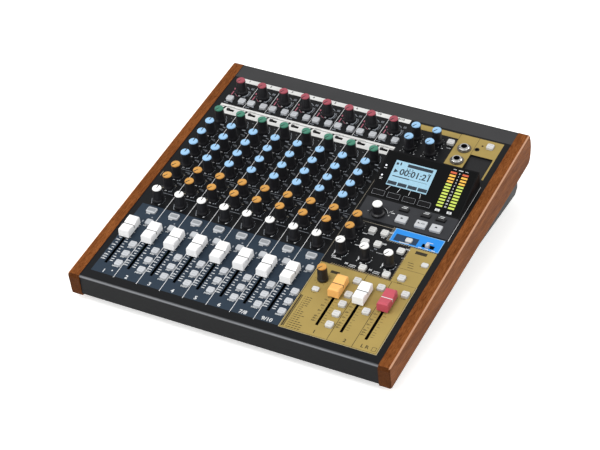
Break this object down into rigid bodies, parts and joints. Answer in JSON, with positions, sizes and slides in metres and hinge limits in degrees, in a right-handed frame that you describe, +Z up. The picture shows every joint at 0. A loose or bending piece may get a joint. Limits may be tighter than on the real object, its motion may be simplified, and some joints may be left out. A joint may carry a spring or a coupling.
{
  "type": "recording mixer",
  "caption": "Desktop recording mixer with wooden side cheeks: a sloping panel of rotary knobs, push buttons and slide faders, a raised display, and a steel case with rear sockets.",
  "frame": {"origin": "on the floor under the middle of the mixer's box", "axes": "+X to the right as seen from the front, +Y to the back, +Z up"},
  "size_m": [0.343, 0.361, 0.0996],
  "materials": {
    "case_steel": "satin black with printed areas",
    "wood": "satin oiled",
    "screw": "black oxide",
    "rubber": "matt",
    "board": "green solder mask",
    "pillar": "plain",
    "body_black": "matt",
    "socket": "satin",
    "knob": "satin black with a coloured cap",
    "white": "satin",
    "grey": "satin",
    "key_black": "satin",
    "orange": "satin",
    "red": "satin",
    "housing": "gloss",
    "window": "smoked, clear over the display",
    "lcd": "backlit",
    "led": "diffused"
  },
  "bodies": {
    "mixer": {"bottom_tray": "case_steel", "top_panel": "case_steel", "rear_panel": "case_steel", "left_cheek": "wood", "right_cheek": "wood", "case_screws": "screw", "feet": "rubber", "control_board": "board", "main_board": "board", "jack_board": "board", "board_pillars": "pillar", "fader_bodies": "body_black", "pot_bodies": "body_black", "switch_bodies": "body_black", "combo_inputs": "socket", "line_jacks": "socket", "phones_jacks": "socket", "small_sockets": "socket", "card_bay": "socket", "card_reader": "socket", "display_housing": "housing", "display_window": "window", "display_board": "board", "lcd_module": "lcd", "meter_leds": "led", "channel_knobs": "knob", "master_knobs": "knob"},
    "input_buttons": {"input_buttons": "grey"},
    "assign_buttons": {"assign_buttons": "grey"},
    "fader_buttons": {"fader_buttons": "grey"},
    "master_buttons": {"master_buttons": "grey"},
    "mode_keys": {"mode_keys": "key_black"},
    "stop_key": {"stop_key": "white"},
    "play_key": {"play_key": "white"},
    "record_key": {"record_key": "white"},
    "function_keys": {"function_keys": "key_black"},
    "fader_1": {"fader_1": "white"},
    "fader_2": {"fader_2": "white"},
    "fader_3": {"fader_3": "white"},
    "fader_4": {"fader_4": "white"},
    "fader_5": {"fader_5": "white"},
    "fader_6": {"fader_6": "white"},
    "fader_7": {"fader_7": "white"},
    "fader_8": {"fader_8": "white"},
    "master_fader_1": {"master_fader_1": "orange"},
    "master_fader_2": {"master_fader_2": "white"},
    "master_fader_3": {"master_fader_3": "red"},
    "channel_switches": {"channel_switches": "white"},
    "patch_switch": {"patch_switch": "white"},
    "encoder_knob": {"encoder_knob": "knob"},
    "gain_knob": {"gain_knob": "knob"},
    "comp_knob": {"comp_knob": "knob"},
    "high_knob": {"high_knob": "knob"},
    "mid_frequency_knob": {"mid_frequency_knob": "knob"},
    "mid_knob": {"mid_knob": "knob"},
    "low_knob": {"low_knob": "knob"},
    "first_aux_knob": {"first_aux_knob": "knob"},
    "second_aux_knob": {"second_aux_knob": "knob"},
    "pan_knob": {"pan_knob": "knob"},
    "power_rocker": {"power_rocker": "key_black"}
  },
  "joints": [
    {"name": "input_buttons_press", "type": "slide", "parent": "mixer", "child": "input_buttons", "axis": [0, 0.1513, -0.9885], "range_m": [0, 0.0015], "stiffness_N_per_m": 600, "springref_m": -0.001},
    {"name": "assign_buttons_press", "type": "slide", "parent": "mixer", "child": "assign_buttons", "axis": [0, 0.1513, -0.9885], "range_m": [0, 0.0015], "stiffness_N_per_m": 600, "springref_m": -0.001},
    {"name": "fader_buttons_press", "type": "slide", "parent": "mixer", "child": "fader_buttons", "axis": [0, 0.1513, -0.9885], "range_m": [0, 0.0015], "stiffness_N_per_m": 600, "springref_m": -0.001},
    {"name": "master_buttons_press", "type": "slide", "parent": "mixer", "child": "master_buttons", "axis": [0, 0.1513, -0.9885], "range_m": [0, 0.0015], "stiffness_N_per_m": 600, "springref_m": -0.001},
    {"name": "mode_keys_press", "type": "slide", "parent": "mixer", "child": "mode_keys", "axis": [0, 0.1513, -0.9885], "range_m": [0, 0.0015], "stiffness_N_per_m": 600, "springref_m": -0.001},
    {"name": "stop_key_press", "type": "slide", "parent": "mixer", "child": "stop_key", "axis": [0, 0.1513, -0.9885], "range_m": [0, 0.0015], "stiffness_N_per_m": 600, "springref_m": -0.001},
    {"name": "play_key_press", "type": "slide", "parent": "mixer", "child": "play_key", "axis": [0, 0.1513, -0.9885], "range_m": [0, 0.0015], "stiffness_N_per_m": 600, "springref_m": -0.001},
    {"name": "record_key_press", "type": "slide", "parent": "mixer", "child": "record_key", "axis": [0, 0.1513, -0.9885], "range_m": [0, 0.0015], "stiffness_N_per_m": 600, "springref_m": -0.001},
    {"name": "function_keys_press", "type": "slide", "parent": "mixer", "child": "function_keys", "axis": [0, 0.4387, -0.8986], "range_m": [0, 0.0006], "stiffness_N_per_m": 600, "springref_m": -0.001},
    {"name": "fader_1_slide", "type": "slide", "parent": "mixer", "child": "fader_1", "axis": [0, 0.9885, 0.1513], "range_m": [-0.0464, 0.0136]},
    {"name": "fader_2_slide", "type": "slide", "parent": "mixer", "child": "fader_2", "axis": [0, 0.9885, 0.1513], "range_m": [-0.0464, 0.0136]},
    {"name": "fader_3_slide", "type": "slide", "parent": "mixer", "child": "fader_3", "axis": [0, 0.9885, 0.1513], "range_m": [-0.0464, 0.0136]},
    {"name": "fader_4_slide", "type": "slide", "parent": "mixer", "child": "fader_4", "axis": [0, 0.9885, 0.1513], "range_m": [-0.0464, 0.0136]},
    {"name": "fader_5_slide", "type": "slide", "parent": "mixer", "child": "fader_5", "axis": [0, 0.9885, 0.1513], "range_m": [-0.0464, 0.0136]},
    {"name": "fader_6_slide", "type": "slide", "parent": "mixer", "child": "fader_6", "axis": [0, 0.9885, 0.1513], "range_m": [-0.0464, 0.0136]},
    {"name": "fader_7_slide", "type": "slide", "parent": "mixer", "child": "fader_7", "axis": [0, 0.9885, 0.1513], "range_m": [-0.0464, 0.0136]},
    {"name": "fader_8_slide", "type": "slide", "parent": "mixer", "child": "fader_8", "axis": [0, 0.9885, 0.1513], "range_m": [-0.0464, 0.0136]},
    {"name": "master_fader_1_slide", "type": "slide", "parent": "mixer", "child": "master_fader_1", "axis": [0, 0.9885, 0.1513], "range_m": [-0.0464, 0.0136]},
    {"name": "master_fader_2_slide", "type": "slide", "parent": "mixer", "child": "master_fader_2", "axis": [0, 0.9885, 0.1513], "range_m": [-0.0464, 0.0136]},
    {"name": "master_fader_3_slide", "type": "slide", "parent": "mixer", "child": "master_fader_3", "axis": [0, 0.9885, 0.1513], "range_m": [-0.0464, 0.0136]},
    {"name": "channel_switches_slide", "type": "slide", "parent": "mixer", "child": "channel_switches", "axis": [1, 0, 0], "range_m": [0, 0.0048]},
    {"name": "patch_switch_slide", "type": "slide", "parent": "mixer", "child": "patch_switch", "axis": [1, 0, 0], "range_m": [-0.0039, 0.0051]},
    {"name": "encoder_knob_turn", "type": "hinge", "parent": "mixer", "child": "encoder_knob", "pos_m": [0.07545, 0.00448, 0.07273], "axis": [0, -0.1513, 0.9885], "continuous": true},
    {"name": "gain_knob_turn", "type": "hinge", "parent": "mixer", "child": "gain_knob", "pos_m": [-0.13905, 0.12686, 0.09146], "axis": [0, -0.1513, 0.9885], "range_deg": [-300, 0]},
    {"name": "comp_knob_turn", "type": "hinge", "parent": "mixer", "child": "comp_knob", "pos_m": [-0.13905, 0.07694, 0.08382], "axis": [0, -0.1513, 0.9885], "range_deg": [-300, 0]},
    {"name": "high_knob_turn", "type": "hinge", "parent": "mixer", "child": "high_knob", "pos_m": [-0.13905, 0.05598, 0.08061], "axis": [0, -0.1513, 0.9885], "range_deg": [-150, 150]},
    {"name": "mid_frequency_knob_turn", "type": "hinge", "parent": "mixer", "child": "mid_frequency_knob", "pos_m": [-0.13905, 0.03814, 0.07788], "axis": [0, -0.1513, 0.9885], "range_deg": [-150, 150]},
    {"name": "mid_knob_turn", "type": "hinge", "parent": "mixer", "child": "mid_knob", "pos_m": [-0.13905, 0.0203, 0.07515], "axis": [0, -0.1513, 0.9885], "range_deg": [-150, 150]},
    {"name": "low_knob_turn", "type": "hinge", "parent": "mixer", "child": "low_knob", "pos_m": [-0.13905, 0.00245, 0.07242], "axis": [0, -0.1513, 0.9885], "range_deg": [-150, 150]},
    {"name": "first_aux_knob_turn", "type": "hinge", "parent": "mixer", "child": "first_aux_knob", "pos_m": [-0.13905, -0.01766, 0.06934], "axis": [0, -0.1513, 0.9885], "range_deg": [-300, 0]},
    {"name": "second_aux_knob_turn", "type": "hinge", "parent": "mixer", "child": "second_aux_knob", "pos_m": [-0.13905, -0.0355, 0.06661], "axis": [0, -0.1513, 0.9885], "range_deg": [-300, 0]},
    {"name": "pan_knob_turn", "type": "hinge", "parent": "mixer", "child": "pan_knob", "pos_m": [-0.13905, -0.057, 0.06332], "axis": [0, -0.1513, 0.9885], "range_deg": [-150, 150]},
    {"name": "power_rocker_turn", "type": "hinge", "parent": "mixer", "child": "power_rocker", "pos_m": [0.138, 0.17375, 0.03591], "axis": [1, 0, 0], "range_deg": [0, 16]}
  ]
}
